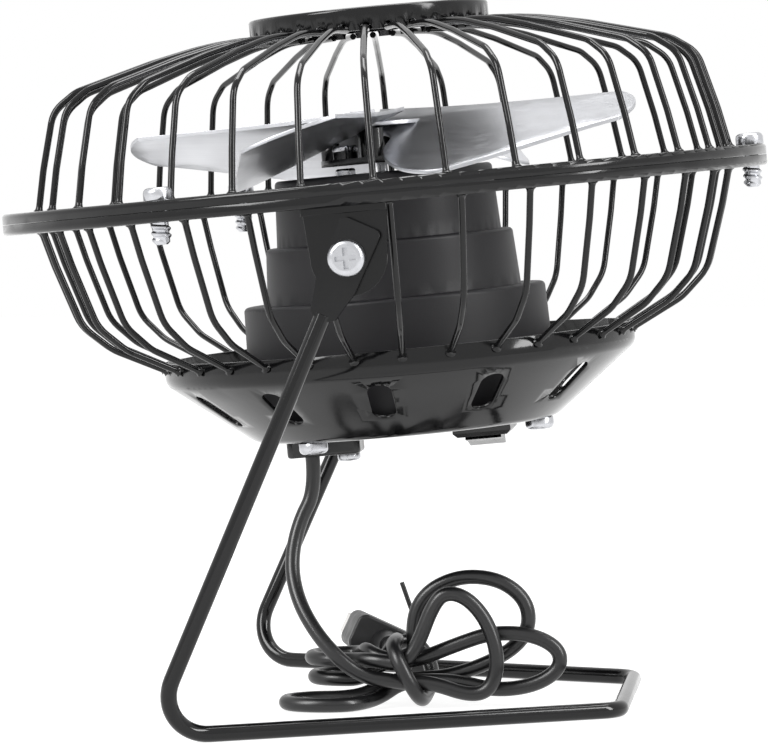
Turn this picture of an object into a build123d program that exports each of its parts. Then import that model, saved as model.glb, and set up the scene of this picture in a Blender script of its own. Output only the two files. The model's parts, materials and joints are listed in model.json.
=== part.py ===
from build123d import *
import math
import os

# Small metal desk fan with a wire guard on a bent-wire stand, USB powered. Millimetres.
# +X is to the right of the photographed view, +Y away from it, +Z up, and the origin is on the
# table under the middle of the fan. The head's pieces are drawn in its own frame, where z is the
# fan's axis with the front at the top, and placed at the end. The rest is drawn where it stands.

# ---------------------------------------------------------------- overall sizes
guard_diameter = 145.0  # outside of the flange ring
ring_height = 97.6  # middle of the flange ring above the table
head_tilt = 4.4  # degrees, front of the head leans towards -X
wire_diameter = 1.2  # guard wires
wire_count = 32  # in each half of the guard
front_wire_start = -85.35  # degrees, first wire of each half
rear_wire_start = -83.25
seat_gap = 0.04  # between faces that touch in one body

# ---------------------------------------------------------------- flange rings
flange_width = 7.2
flange_sheet = 0.8
flange_height = 1.95  # one ring, web and lip
flange_gap = 0.1  # dark line between the two rings
wire_seat_inset = 6.5  # guard wires stand this far inside the rim
flange_screw_inset = 3.0
flange_screw_angles = (-119.0, 1.0, 121.0)
flange_screw_head = (2.6, 2.2)  # radius, height
flange_screw_shank = (1.45, 8.0)  # radius, length

# ---------------------------------------------------------------- front guard
hub_disc_radius = 22.7
hub_disc_top = 34.0
hub_disc_sheet = 0.7
hub_disc_skirt = 4.3
front_wire_rise = 30.0  # wire centre line where it meets the hub disc
hub_tab_clearance = 0.5  # each side of a wire in the skirt
front_wire_route = (  # (inside the seat, height) of each corner from the flange up
    (-0.2, 0), (1.8, 9.6), (4.7, 20.4), (9.3, 23.6), (24.0, 27.6),
)
front_wire_flat = 8.0  # last straight run, beyond the hub disc
front_wire_bends = (25, 6, 6, 30, 40)

# ---------------------------------------------------------------- rear guard
rear_wire_route = (  # (inside the seat, height) of each corner from the flange down
    (0.0, 0), (2.3, -8.5), (6.2, -20.4), (11.4, -25.2),
)
rear_wire_end = (2.0, -31.2)  # (inside the pan's rim, height)
rear_wire_bends = (30, 8, 9)

# ---------------------------------------------------------------- rear pan
pan_rim_radius = 44.7
pan_rim_top = -28.8
pan_rim_bottom = -33.0
pan_bottom = -45.5
pan_flat_radius = 28.6
pan_bends = (4.0, 2.5)  # outer radius round the flat and under the rim
pan_sheet = 0.8
slot_count = 12
slot_width = 4.4
slot_length = 10.5
slot_rise = 1.5  # of the slots above the middle of the cone

# ---------------------------------------------------------------- motor cover
cover_radii = (21.0, 23.8, 29.0)  # the three steps, front to back
cover_levels = (3.4, -9.2, -19.9)  # front face of each step
cover_back = -42.9
cover_wall = 1.5
cover_draft = 0.35
cover_nose_hole = 5.6
cover_edge = 0.9  # rounding of each step
cover_boss_radius = 2.4
cover_boss_height = 9.0
pan_screw_circle = 25.7
pan_screw_angles = (-7.0, -127.0, 113.0)
pan_screw_head = (2.7, 2.1)
pan_screw_shank = (1.3, 7.0)

# ---------------------------------------------------------------- motor
can_radius = 16.0
can_wall = 1.0
can_back = -29.0
shaft_radius = 1.0
shaft_front = 13.6
running_gap = 0.03
bush_radius = 3.0
motor_screw_circle = 9.0
motor_screw_head = (1.9, 1.2)
motor_screw_shank = (1.0, 2.6)
magnet_thickness = 2.2
magnet_span = 140.0
armature_radius = 12.4
armature_front = -5.5
armature_back = -19.5
armature_arm = 4.0
winding_depth = 2.0
commutator_radius = 3.2
commutator_front = -22.4
commutator_back = -25.6
end_cap_thickness = 2.5

# ---------------------------------------------------------------- propeller
blade_count = 4
blade_radius = 50.8
blade_sheet = 0.7
blade_plane = 13.0  # height of the sheet on the axis
blade_disc_radius = 8.2
blade_stations = ((-4, 0.0, 0.38), (16, 0.2, 0.39), (34, 1.1, 0.33), (54, 1.9, 0.25))
hub_flange_radius = 11.5
hub_flange_back = 5.2
hub_flange_thickness = 1.2
hub_boss_radius = 4.2
hub_post_radius = 1.8
hub_post_gap = 0.4  # under the sheet
hub_screw_circle = 9.6
hub_screw_head = (1.6, 1.1)
hub_screw_shank = (0.8, 2.5)
hub_screw_seat = 7.9
shaft_fit = 0.02  # between the shaft and what is pressed on it

# ---------------------------------------------------------------- pivots
pivot_setback = 11.15  # pivot axis behind the flange's middle
pivot_screw_radius = 1.75
pivot_head = (3.3, 2.4)
pivot_running_gap = 0.06
ear_clearance = 0.15  # between the guard wires and the ear
ear_sheet = 1.2
ear_radius = 6.8
ear_top_width = 15.0
ear_foot_width = 3.4
washer_radius = 3.3
washer_thickness = 0.5
nut_across = 6.6
nut_thickness = 2.0
pivot_screw_tip = 0.4  # beyond the nut

# ---------------------------------------------------------------- stand
stand_wire = 3.0
paddle_thickness = 2.0
paddle_widths = ((-6.5, 7.6), (5.5, 7.2), (10.9, 4.7), (11.6, 3.0))  # (below the pivot, width)
paddle_corner = 1.2
paddle_overlap = 0.9  # of the round wire into the flattened end
foot_front_x = -37.2  # bend under the arms
foot_front_half = 62.3
foot_back_x = 44.6  # crossbar
foot_back_half = 25.5
foot_bend = 8.0
crossbar_bend = 5.0

# ---------------------------------------------------------------- switch
switch_x = 14.8
bezel_size = (11.0, 15.0, 2.3)
bezel_chamfer = 0.8
switch_wall = 0.8
switch_depth = 9.5
rocker_width = 6.8
rocker_swing_radius = 5.7
rocker_half_length = 4.8
rocker_pivot_depth = 1.6  # behind the bezel's face
rocker_dish = 0.25  # of its face
rocker_root = 1.6  # behind the pin
rocker_gap = 0.25
rocker_pin_radius = 0.9
rocker_throw = 10.0  # degrees each side of the middle
terminal_length = 3.0
terminal_spread = 3.0  # each side of the switch's middle

# ---------------------------------------------------------------- cord clamp
clamp_size = (14.0, 9.0, 3.6)
clamp_middle = (-15.7, -1.0)
clamp_screw_at = (-11.4, -1.0)
clamp_screw_head = (2.2, 1.4)
clamp_screw_shank = (1.2, 6.1)
cord_exit_at = (-18.4, -1.0)
cord_stub_inside = 2.0
inner_lead = 1.0  # diameter of the two leads inside the pan
inner_lead_bend = 1.0
inner_lead_drop = 2.2  # their run behind the motor
motor_tab_at = (8.0, 6.0)  # where the second lead meets the motor

# ---------------------------------------------------------------- cord and plug
cord_diameter = 2.8
cord_gap = 0.6  # between strands side by side in the bundle's waist
floor_gap = 0.2  # under the bundle
waist_y = -8.0  # middle of the waist
wrap_top_x = 1.2  # the turn round the waist leans, so it crosses the top and bottom apart
wrap_bottom_x = 6.6
wrap_lift = 0.4  # of the turn over the strands, more than their own spacing
tail_climb = ((5.8, 4.6, 9.4), (2.6, 4.8, 11.6))  # run of the tail that carries the tie
cord_end = (-1.7, 9.7, 9.6)
tie_wire = 0.9  # diameter of the wire tie
plug_heading = (-0.2, 0.97, -0.045)  # its far end rests on the stand's foot
plug_roll = 25.0
neck_length = 7.5
neck_radii = (1.9, 2.8)
overmold_size = (13.6, 7.4, 18.0)
overmold_corner = 1.8
overmold_edge = 0.5
shell_size = (12.0, 4.5, 12.5)
shell_corner = 0.5
shell_sheet = 0.3
tongue_thickness = 1.8
tongue_setback = 0.8  # of its end inside the shell

# ---------------------------------------------------------------- worked out
guard_radius = guard_diameter / 2
wire_radius = wire_diameter / 2
wire_seat_radius = guard_radius - wire_seat_inset
flange_web_top = flange_gap / 2 + flange_height
flange_web_under = flange_web_top - flange_sheet
can_front = cover_levels[0] - cover_wall - seat_gap
strand_pitch = cord_diameter + cord_gap
floor_strand = cord_diameter / 2 + floor_gap
low_strand = floor_strand + strand_pitch
high_strand = low_strand + strand_pitch
top_strand = high_strand + strand_pitch + wrap_lift

tilt_sine = math.sin(math.radians(head_tilt))
tilt_cosine = math.cos(math.radians(head_tilt))
head = Plane(
    origin=(0, 0, ring_height),
    x_dir=(tilt_cosine, 0, tilt_sine),
    z_dir=(-tilt_sine, 0, tilt_cosine),
)
standing = (Align.CENTER, Align.CENTER, Align.MIN)
hanging = (Align.CENTER, Align.CENTER, Align.MAX)
head_pieces = {}
table_pieces = {}


def rim_edges(builder, radius, height):
    """The circular edges of a head piece at one radius and height."""
    circles = builder.edges().filter_by(GeomType.CIRCLE)
    return [
        edge
        for edge in circles
        if abs(edge.radius - radius) < 0.01 and abs(edge.arc_center.Z - height) < 0.01
    ]


def turned(profile):
    """A closed outline of (radius, height) points, turned about the z axis."""
    with BuildSketch(Plane.XZ) as outline:
        with BuildLine():
            Polyline(*profile, close=True)
        make_face()
    revolve(outline.sketch, axis=Axis.Z)


def screw(head_size, shank_size):
    """A cross-recess pan-head screw on the z axis, head above z = 0 and shank below."""
    head_radius, head_height = head_size
    shank_radius, shank_length = shank_size
    with BuildPart() as one:
        with BuildSketch():
            Circle(head_radius)
        extrude(amount=head_height)
        fillet(one.faces().sort_by(Axis.Z)[-1].edges(), head_height * 0.45)
        with BuildSketch(Plane.XY.offset(head_height)):
            Rectangle(head_radius * 1.15, head_radius * 0.26)
            Rectangle(head_radius * 0.26, head_radius * 1.15)
        extrude(amount=-head_height * 0.55, mode=Mode.SUBTRACT)
        with BuildSketch():
            Circle(shank_radius)
        extrude(amount=-shank_length)
        chamfer(one.faces().sort_by(Axis.Z)[0].edges(), shank_radius * 0.3)
    return one.part


def bend_radii(points, most=1e9):
    """The largest bend at each corner that the two runs beside it leave room for."""
    radii = []
    for before, corner, after in zip(points, points[1:], points[2:]):
        run_in = Vector(*corner) - Vector(*before)
        run_out = Vector(*after) - Vector(*corner)
        half_turn = math.radians(run_in.get_angle(run_out)) / 2
        radii.append(min(most, 0.45 * min(run_in.length, run_out.length) / math.tan(half_turn)))
    return radii


def tube(points, radii, diameter):
    """A round tube along straight runs and tangent arcs."""
    with BuildPart() as one:
        with BuildLine() as line:
            FilletPolyline(*points, radius=radii)
        path = line.wire()
        with BuildSketch(Plane(path @ 0, z_dir=path % 0)):
            Circle(diameter / 2)
        sweep(path=path)
    return one.part, path


# ================================================================ front guard
# Pressed cap in the middle of the guard, its skirt notched over every wire.
with BuildPart() as front_disc:
    skirt_end = hub_disc_top - hub_disc_skirt
    inside = hub_disc_radius - hub_disc_sheet
    turned([
        (0, hub_disc_top),
        (hub_disc_radius, hub_disc_top),
        (hub_disc_radius, skirt_end),
        (inside, skirt_end),
        (inside, hub_disc_top - hub_disc_sheet),
        (0, hub_disc_top - hub_disc_sheet),
    ])
    fillet(rim_edges(front_disc, hub_disc_radius, hub_disc_top), hub_disc_sheet * 0.9)
    notch_radius = wire_radius + hub_tab_clearance
    with PolarLocations(hub_disc_radius - hub_disc_sheet / 2, wire_count, front_wire_start):
        with Locations((0, 0, front_wire_rise)):
            Cylinder(notch_radius, 4 * hub_disc_sheet, rotation=(0, 90, 0), mode=Mode.SUBTRACT)
        with Locations((0, 0, front_wire_rise - notch_radius)):
            Box(4 * hub_disc_sheet, 2 * notch_radius, 2 * notch_radius, mode=Mode.SUBTRACT)
head_pieces["front_disc"] = front_disc

# Ring wire inside the cap, on which the guard wires are welded.
hub_ring_radius = hub_disc_radius - hub_disc_sheet - wire_diameter
with BuildPart() as hub_ring:
    with BuildSketch(Plane.XZ):
        with Locations((hub_ring_radius, front_wire_rise + wire_diameter + seat_gap)):
            Circle(wire_radius)
    revolve(axis=Axis.Z)
head_pieces["hub_ring"] = hub_ring

# One front wire, from the web of the flange over the shoulder to the ring wire.
with BuildPart() as one_front_wire:
    with BuildLine(Plane.XZ) as front_wire_line:
        FilletPolyline(
            *((wire_seat_radius - inset, height) for inset, height in front_wire_route),
            (hub_disc_radius + front_wire_flat, front_wire_rise),
            (hub_ring_radius - wire_diameter, front_wire_rise),
            radius=front_wire_bends,
        )
    with BuildSketch(Plane(front_wire_line.line @ 0, z_dir=front_wire_line.line % 0)):
        Circle(wire_radius)
    sweep(path=front_wire_line.line)
    split(bisect_by=Plane.XY.offset(flange_web_top + seat_gap), keep=Keep.TOP)

with BuildPart() as front_wires:
    with PolarLocations(0, wire_count, front_wire_start):
        add(one_front_wire.part)
head_pieces["front_wires"] = front_wires

# Stamped ring of each half of the guard, its lip turned towards the other ring.
flange_screw_radius = guard_radius - flange_screw_inset
for side, name in ((1, "front_flange"), (-1, "rear_flange")):
    with BuildPart() as flange:
        turned([
            (guard_radius - flange_width, side * flange_web_top),
            (guard_radius, side * flange_web_top),
            (guard_radius, side * (flange_web_top - flange_height)),
            (guard_radius - flange_sheet, side * (flange_web_top - flange_height)),
            (guard_radius - flange_sheet, side * flange_web_under),
            (guard_radius - flange_width, side * flange_web_under),
        ])
        fillet(rim_edges(flange, guard_radius, side * flange_web_top), flange_sheet * 0.85)
        for angle in flange_screw_angles:
            with PolarLocations(flange_screw_radius, 1, angle):
                Cylinder(flange_screw_shank[0] + seat_gap, 8, mode=Mode.SUBTRACT)
    head_pieces[name] = flange

one_flange_screw = screw(flange_screw_head, flange_screw_shank)
with BuildPart(Plane.XY.offset(flange_web_top + seat_gap)) as flange_screws:
    for angle in flange_screw_angles:
        with PolarLocations(flange_screw_radius, 1, angle):
            add(one_flange_screw)
head_pieces["flange_screws"] = flange_screws

# ================================================================ rear guard
with BuildPart() as one_rear_wire:
    with BuildLine(Plane.XZ) as rear_wire_line:
        FilletPolyline(
            *((wire_seat_radius - inset, height) for inset, height in rear_wire_route),
            (pan_rim_radius - rear_wire_end[0], rear_wire_end[1]),
            radius=rear_wire_bends,
        )
    with BuildSketch(Plane(rear_wire_line.line @ 0, z_dir=rear_wire_line.line % 0)):
        Circle(wire_radius)
    sweep(path=rear_wire_line.line)
    split(bisect_by=Plane.XY.offset(-flange_web_top - seat_gap), keep=Keep.BOTTOM)
    with Locations((0, 0, pan_rim_top)):
        Cylinder(pan_rim_radius + seat_gap, 20, mode=Mode.SUBTRACT)

with BuildPart() as rear_wires:
    with PolarLocations(0, wire_count, rear_wire_start):
        add(one_rear_wire.part)
head_pieces["rear_wires"] = rear_wires


def pan_outline(inset, mode):
    """The pan's turned shape, set in by a wall."""
    half_turn = math.atan2(pan_rim_bottom - pan_bottom, pan_rim_radius - pan_flat_radius) / 2
    flat = (pan_flat_radius - inset * math.tan(half_turn), pan_bottom + inset)
    rim_turn = math.radians(45) - half_turn
    shoulder = (pan_rim_radius - inset, pan_rim_bottom + inset * math.tan(rim_turn))
    with BuildSketch(Plane.XZ) as outline:
        with BuildLine():
            FilletPolyline(
                (0, flat[1]), flat, shoulder, (shoulder[0], pan_rim_top),
                radius=(pan_bends[0] - inset, pan_bends[1] - inset),
            )
            Polyline((shoulder[0], pan_rim_top), (0, pan_rim_top), (0, flat[1]))
        make_face()
    revolve(outline.sketch, axis=Axis.Z, mode=mode)


# Pressed pan that closes the guard at the back and carries the motor.
cone_run = Vector(pan_rim_radius - pan_flat_radius, 0, pan_rim_bottom - pan_bottom).normalized()
cone_normal = Vector(cone_run.Z, 0, -cone_run.X)
cone_middle = Vector((pan_rim_radius + pan_flat_radius) / 2, 0, (pan_rim_bottom + pan_bottom) / 2)
slot_middle = cone_middle + cone_run * slot_rise
with BuildPart() as slot_cutter:
    with BuildSketch(Plane(slot_middle, x_dir=cone_run, z_dir=cone_normal)):
        SlotOverall(slot_length, slot_width)
    extrude(amount=5 * pan_sheet, both=True)

switch_body_size = (
    rocker_width + 2 * rocker_gap + 2 * switch_wall,
    2 * (rocker_swing_radius + rocker_gap) + 2 * switch_wall,
)
with BuildPart() as rear_pan:
    pan_outline(0, Mode.ADD)
    pan_outline(pan_sheet, Mode.SUBTRACT)
    with PolarLocations(0, slot_count, -90):
        add(slot_cutter.part, mode=Mode.SUBTRACT)
    for angle in pan_screw_angles:
        with PolarLocations(pan_screw_circle, 1, angle):
            with Locations((0, 0, pan_bottom)):
                Cylinder(pan_screw_shank[0] + seat_gap, 4, mode=Mode.SUBTRACT)
    with Locations((switch_x, 0, pan_bottom)):
        Box(switch_body_size[0] + 0.2, switch_body_size[1] + 0.2, 4, mode=Mode.SUBTRACT)
    with Locations((*cord_exit_at, pan_bottom), (*clamp_screw_at, pan_bottom)):
        Cylinder(cord_diameter / 2 + 0.1, 4, mode=Mode.SUBTRACT)
head_pieces["rear_pan"] = rear_pan

# ================================================================ pivots
ear_inner = wire_seat_radius + wire_radius + ear_clearance
ear_outer = ear_inner + ear_sheet
paddle_inner = ear_outer + seat_gap + washer_thickness + pivot_running_gap
paddle_middle = paddle_inner + paddle_thickness / 2
paddle_outer = paddle_inner + paddle_thickness
pivot = head.from_local_coords(Vector(0, 0, -pivot_setback))
ear_top = -flange_web_top - seat_gap


def side_plane(side, distance):
    """A plane of the head facing outwards on one side, with its origin on the pivot axis."""
    return Plane((0, side * distance, -pivot_setback), x_dir=(-side, 0, 0), z_dir=(0, side, 0))


with BuildPart() as pivot_ears:
    top = pivot_setback + ear_top
    for side in (-1, 1):
        with BuildSketch(side_plane(side, ear_inner)):
            Circle(ear_radius)
            with BuildLine():
                Polyline(
                    (-ear_top_width / 2, top),
                    (ear_top_width / 2, top),
                    (ear_radius, 0),
                    (-ear_radius, 0),
                    close=True,
                )
            make_face()
            Circle(pivot_screw_radius + seat_gap, mode=Mode.SUBTRACT)
        extrude(amount=ear_sheet)
        with BuildSketch(side_plane(side, ear_inner)):
            with Locations((0, top - ear_sheet / 2)):
                Rectangle(ear_top_width, ear_sheet)
        extrude(amount=ear_foot_width)
head_pieces["pivot_ears"] = pivot_ears

with BuildPart() as pivot_washers:
    for side in (-1, 1):
        with BuildSketch(side_plane(side, ear_outer + seat_gap)):
            Circle(washer_radius)
            Circle(pivot_screw_radius + seat_gap, mode=Mode.SUBTRACT)
        extrude(amount=washer_thickness)
head_pieces["pivot_washers"] = pivot_washers

pivot_head_seat = paddle_outer + pivot_running_gap
pivot_reach = pivot_head_seat - ear_inner + nut_thickness + pivot_screw_tip
pivot_shank = (pivot_screw_radius, pivot_reach)
one_pivot_screw = screw(pivot_head, pivot_shank)
with BuildPart() as pivot_screws:
    with Locations(side_plane(-1, pivot_head_seat), side_plane(1, pivot_head_seat)):
        add(one_pivot_screw)
head_pieces["pivot_screws"] = pivot_screws

with BuildPart() as pivot_nuts:
    for side in (-1, 1):
        with BuildSketch(side_plane(side, ear_inner - seat_gap - nut_thickness)):
            RegularPolygon(nut_across / 2, 6, major_radius=False)
            Circle(pivot_screw_radius + seat_gap, mode=Mode.SUBTRACT)
        extrude(amount=nut_thickness)
head_pieces["pivot_nuts"] = pivot_nuts

# ================================================================ stand
# One wire: arm, foot bar, crossbar, foot bar, arm, each arm's end flattened round its pivot.
foot_z = stand_wire / 2
near_foot = Vector(foot_front_x, -foot_front_half, foot_z)
arm_drop = Vector(near_foot.X - pivot.X, 0, near_foot.Z - pivot.Z).normalized()
neck_at = pivot + arm_drop * (paddle_widths[-1][0] - paddle_overlap)
stand_points = [
    (neck_at.X, -paddle_middle, neck_at.Z),
    (foot_front_x, -foot_front_half, foot_z),
    (foot_back_x, -foot_back_half, foot_z),
    (foot_back_x, foot_back_half, foot_z),
    (foot_front_x, foot_front_half, foot_z),
    (neck_at.X, paddle_middle, neck_at.Z),
]
with BuildPart() as stand:
    with BuildLine() as stand_line:
        FilletPolyline(*stand_points, radius=(foot_bend, crossbar_bend, crossbar_bend, foot_bend))
    with BuildSketch(Plane(stand_line.line @ 0, z_dir=stand_line.line % 0)):
        Circle(stand_wire / 2)
    sweep(path=stand_line.line)
    for side in (-1, 1):
        paddle = Plane((pivot.X, side * paddle_middle, pivot.Z), x_dir=arm_drop, z_dir=(0, side, 0))
        with BuildSketch(paddle) as paddle_outline:
            with BuildLine():
                Polyline(
                    *((along, -width / 2) for along, width in paddle_widths),
                    *((along, width / 2) for along, width in reversed(paddle_widths)),
                    close=True,
                )
            make_face()
            fillet(paddle_outline.vertices().sort_by(Axis.X)[:2], paddle_corner)
        extrude(amount=paddle_thickness / 2, both=True)
        with Locations(paddle):
            Cylinder(pivot_screw_radius + pivot_running_gap, 2 * paddle_thickness, mode=Mode.SUBTRACT)
table_pieces["stand_wire"] = stand.part

# ================================================================ motor cover
with BuildPart() as motor_cover:
    outer = []
    inner = []
    backs = (*cover_levels[1:], cover_back)
    inner_backs = (*(level - cover_wall for level in cover_levels[1:]), cover_back)
    for radius, front, back, inner_back in zip(cover_radii, cover_levels, backs, inner_backs):
        outer += [(radius - cover_draft, front), (radius + cover_draft, back)]
        inner += [
            (radius - cover_draft - cover_wall, front - cover_wall),
            (radius + cover_draft - cover_wall, inner_back),
        ]
    nose = [(cover_nose_hole, cover_levels[0] - cover_wall), (cover_nose_hole, cover_levels[0])]
    turned([*nose, *outer, *reversed(inner)])
    for radius, level in zip(cover_radii, cover_levels):
        fillet(rim_edges(motor_cover, radius - cover_draft, level), cover_edge)
    for angle in pan_screw_angles:
        with PolarLocations(pan_screw_circle, 1, angle):
            with Locations((0, 0, pan_bottom + pan_sheet + seat_gap)):
                Cylinder(cover_boss_radius, cover_boss_height, align=standing)
            with Locations((0, 0, pan_bottom)):
                Cylinder(pan_screw_shank[0] + seat_gap, pan_screw_shank[1] + 1, align=standing,
                         mode=Mode.SUBTRACT)
    with PolarLocations(motor_screw_circle, 2, 45):
        Cylinder(motor_screw_shank[0] + seat_gap, 3 * cover_levels[0], mode=Mode.SUBTRACT)
head_pieces["motor_cover"] = motor_cover

one_pan_screw = screw(pan_screw_head, pan_screw_shank)
with BuildPart(Plane((0, 0, pan_bottom - seat_gap), x_dir=(1, 0, 0), z_dir=(0, 0, -1))) as pan_screws:
    for angle in pan_screw_angles:
        with PolarLocations(pan_screw_circle, 1, -angle):
            add(one_pan_screw)
head_pieces["pan_screws"] = pan_screws

# ================================================================ motor
with BuildPart() as motor_can:
    turned([
        (bush_radius + seat_gap, can_front),
        (can_radius, can_front),
        (can_radius, can_back),
        (can_radius - can_wall, can_back),
        (can_radius - can_wall, can_front - can_wall),
        (bush_radius + seat_gap, can_front - can_wall),
    ])
    fillet(rim_edges(motor_can, can_radius, can_front), can_wall * 0.8)
    with PolarLocations(motor_screw_circle, 2, 45):
        Cylinder(motor_screw_shank[0] + seat_gap, 2 * can_front + 1, mode=Mode.SUBTRACT)
head_pieces["motor_can"] = motor_can

one_motor_screw = screw(motor_screw_head, motor_screw_shank)
with BuildPart(Plane.XY.offset(cover_levels[0] + seat_gap)) as motor_screws:
    with PolarLocations(motor_screw_circle, 2, 45):
        add(one_motor_screw)
head_pieces["motor_screws"] = motor_screws

magnet_outer = can_radius - can_wall - seat_gap
magnet_opening = 2 * magnet_outer * math.cos(math.radians(magnet_span / 2))
with BuildPart() as magnets:
    with BuildSketch(Plane.XY.offset(armature_front + 1.5)):
        Circle(magnet_outer)
        Circle(magnet_outer - magnet_thickness, mode=Mode.SUBTRACT)
        Rectangle(2 * can_radius, magnet_opening, mode=Mode.SUBTRACT)
    extrude(amount=armature_back - armature_front - 3)
head_pieces["magnets"] = magnets

end_cap_back = can_back + seat_gap
with BuildPart() as motor_end_cap:
    turned([
        (bush_radius - 0.5 + seat_gap, end_cap_back + end_cap_thickness),
        (can_radius - can_wall - seat_gap, end_cap_back + end_cap_thickness),
        (can_radius - can_wall - seat_gap, end_cap_back),
        (bush_radius - 0.5 + seat_gap, end_cap_back),
    ])
head_pieces["motor_end_cap"] = motor_end_cap

with BuildPart() as motor_bushes:
    for radius, front, back in (
        (bush_radius, can_front + 1.0, can_front - 2.6),
        (bush_radius - 0.5, end_cap_back + end_cap_thickness, end_cap_back),
    ):
        bore = shaft_radius + running_gap
        turned([(bore, front), (radius, front), (radius, back), (bore, back)])
head_pieces["motor_bushes"] = motor_bushes

# Carbon brushes on leaf springs that stand on the end cap.
brush_middle = (commutator_front + commutator_back) / 2
with BuildPart() as brushes:
    for side in (-1, 1):
        cap_front = end_cap_back + end_cap_thickness + seat_gap
        reach = commutator_radius + pivot_running_gap
        with Locations((side * (reach + 1.2), 0, brush_middle)):
            Box(2.4, 2.4, 2.2)
        leaf_height = brush_middle + 1.1 - cap_front
        with Locations((side * (reach + 2.6), 0, cap_front)):
            Box(0.5, 3.2, leaf_height, align=(Align.CENTER, Align.CENTER, Align.MIN))
head_pieces["brushes"] = brushes

# ================================================================ rotor
with BuildPart() as shaft:
    turned([(0, shaft_front), (shaft_radius, shaft_front), (shaft_radius, can_back), (0, can_back)])
head_pieces["shaft"] = shaft

with BuildPart() as armature_core:
    with BuildSketch(Plane.XY.offset(armature_back)):
        Circle(armature_radius)
        Circle(armature_radius - 1.6, mode=Mode.SUBTRACT)
        with PolarLocations(armature_radius - 1, 3, 60):
            Rectangle(5, 3.4, mode=Mode.SUBTRACT)
        Circle(3.4)
        with PolarLocations((armature_radius - 1) / 2, 3):
            Rectangle(armature_radius - 1, armature_arm)
        Circle(shaft_radius + shaft_fit, mode=Mode.SUBTRACT)
    extrude(amount=armature_front - armature_back)
head_pieces["armature_core"] = armature_core

armature_length = armature_front - armature_back
with BuildPart() as armature_windings:
    with Locations((0, 0, (armature_front + armature_back) / 2)):
        with PolarLocations(7.0, 3):
            Box(5.0, armature_arm + 2 * winding_depth, armature_length + 2 * winding_depth)
            Box(6.0, armature_arm + 0.1, armature_length + 0.1, mode=Mode.SUBTRACT)
head_pieces["armature_windings"] = armature_windings

with BuildPart() as commutator:
    bore = shaft_radius + shaft_fit
    turned([
        (bore, commutator_front),
        (commutator_radius, commutator_front),
        (commutator_radius, commutator_back),
        (bore, commutator_back),
    ])
    with PolarLocations(commutator_radius, 3, 60):
        with Locations((0, 0, brush_middle)):
            Box(1.2, 0.4, commutator_front - commutator_back, mode=Mode.SUBTRACT)
head_pieces["commutator"] = commutator

# Moulded hub on the shaft: flange, boss, a post under each blade and screws between them.
sheet_under = blade_plane - blade_sheet / 2 - 0.6
with BuildPart() as blade_hub:
    turned([
        (shaft_radius + shaft_fit, hub_flange_back),
        (hub_flange_radius, hub_flange_back),
        (hub_flange_radius, hub_flange_back + hub_flange_thickness),
        (hub_boss_radius, hub_flange_back + hub_flange_thickness),
        (hub_boss_radius, sheet_under),
        (shaft_radius + shaft_fit, sheet_under),
    ])
    with PolarLocations(hub_screw_circle, blade_count):
        with Locations((0, 0, hub_flange_back)):
            Cylinder(hub_post_radius, sheet_under - hub_post_gap - hub_flange_back, align=standing)
    with PolarLocations(hub_screw_circle, blade_count, 45):
        with Locations((0, 0, hub_flange_back)):
            Cylinder(hub_screw_head[0], hub_screw_seat - seat_gap - hub_flange_back, align=standing)
            Cylinder(hub_screw_shank[0] + seat_gap, 20, mode=Mode.SUBTRACT)
head_pieces["blade_hub"] = blade_hub

one_hub_screw = screw(hub_screw_head, hub_screw_shank)
with BuildPart(Plane.XY.offset(hub_screw_seat)) as hub_screws:
    with PolarLocations(hub_screw_circle, blade_count, 45):
        add(one_hub_screw)
head_pieces["hub_screws"] = hub_screws

# One blade: a twisted sheet lofted outwards, cut to its outline.
with BuildPart() as one_blade:
    chord_middle = -11.0
    for station, lift, slope in blade_stations:
        height = blade_plane + lift + slope * chord_middle
        with BuildSketch(Plane((station, chord_middle, height), x_dir=(0, 1, slope), z_dir=(1, 0, 0))):
            Rectangle(52, blade_sheet)
    loft()
    with BuildSketch():
        with BuildLine():
            tip_back = (46.6, -2.6)
            tip_middle = Vector(blade_radius, 0).rotate(Axis.Z, -13)
            tip_front = (46.6, -20.2)
            Line((0, 5.2), tip_back)
            ThreePointArc(tip_back, tip_middle, tip_front)
            Line(tip_front, (16, -26.5))
            Spline((16, -26.5), (7, -24.6), (3.0, -19.5), (2.2, -13), (3.0, -8.5), (0, -5.5))
            Line((0, -5.5), (0, 5.2))
        make_face()
    extrude(amount=30, mode=Mode.INTERSECT)

with BuildPart() as blade:
    with PolarLocations(0, blade_count):
        add(one_blade.part)
    with Locations((0, 0, sheet_under + seat_gap)):
        Cylinder(hub_boss_radius + seat_gap, 20, align=hanging, mode=Mode.SUBTRACT)
    with BuildSketch(Plane.XY.offset(sheet_under + seat_gap)):
        Circle(blade_disc_radius)
    extrude(amount=blade_sheet)
    Cylinder(shaft_radius + shaft_fit, 60, mode=Mode.SUBTRACT)
head_pieces["blade"] = blade

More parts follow.
